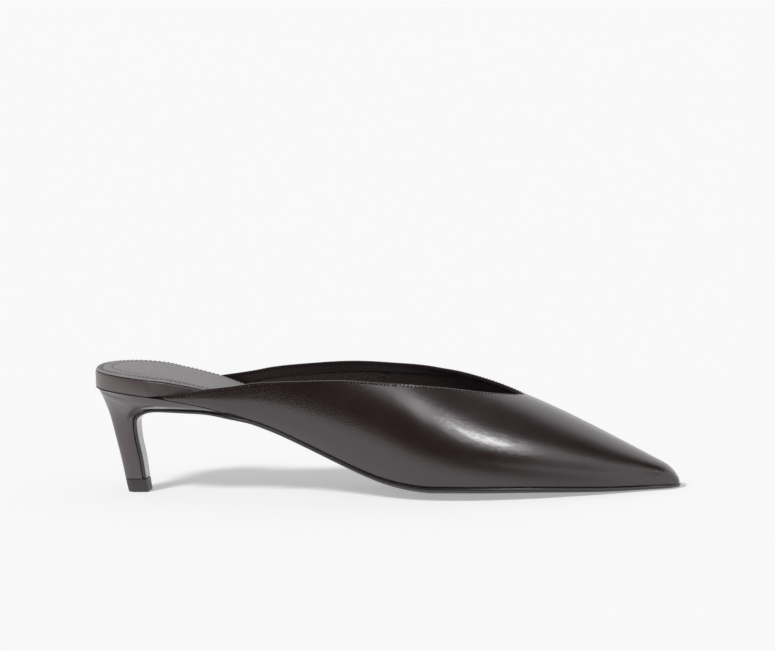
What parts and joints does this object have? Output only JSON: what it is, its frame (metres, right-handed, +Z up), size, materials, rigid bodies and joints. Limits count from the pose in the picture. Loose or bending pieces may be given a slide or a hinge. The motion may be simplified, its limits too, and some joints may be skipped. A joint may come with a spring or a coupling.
{
  "type": "mule pump shoe",
  "caption": "Backless pump with a pointed toe, V throat, slim covered kitten heel, leather sole and padded sock; right shoe.",
  "frame": {"origin": "centre of the whole shoe's footprint box, on the floor it stands on", "axes": "+X from the back of the seat to the toe, +Y to the inner side of the foot, +Z up"},
  "size_m": [0.2644, 0.0754, 0.0577],
  "materials": {
    "upper_leather": "smooth dark brown calf, semi-gloss",
    "rand_leather": "smooth brown calf wrapped round the insole's edge",
    "sock_leather": "soft grained grey-brown leather, matt, stitched round its edge",
    "sole_leather": "dark sole leather, inked edge",
    "heel_cover": "smooth brown calf drawn over the heel, semi-gloss",
    "top_lift_rubber": "hard dark wearing piece, satin"
  },
  "bodies": {
    "root": {"upper": "upper_leather", "insole": "rand_leather", "sock": "sock_leather", "outsole": "sole_leather", "heel": "heel_cover", "top_lift": "top_lift_rubber"}
  },
  "joints": []
}
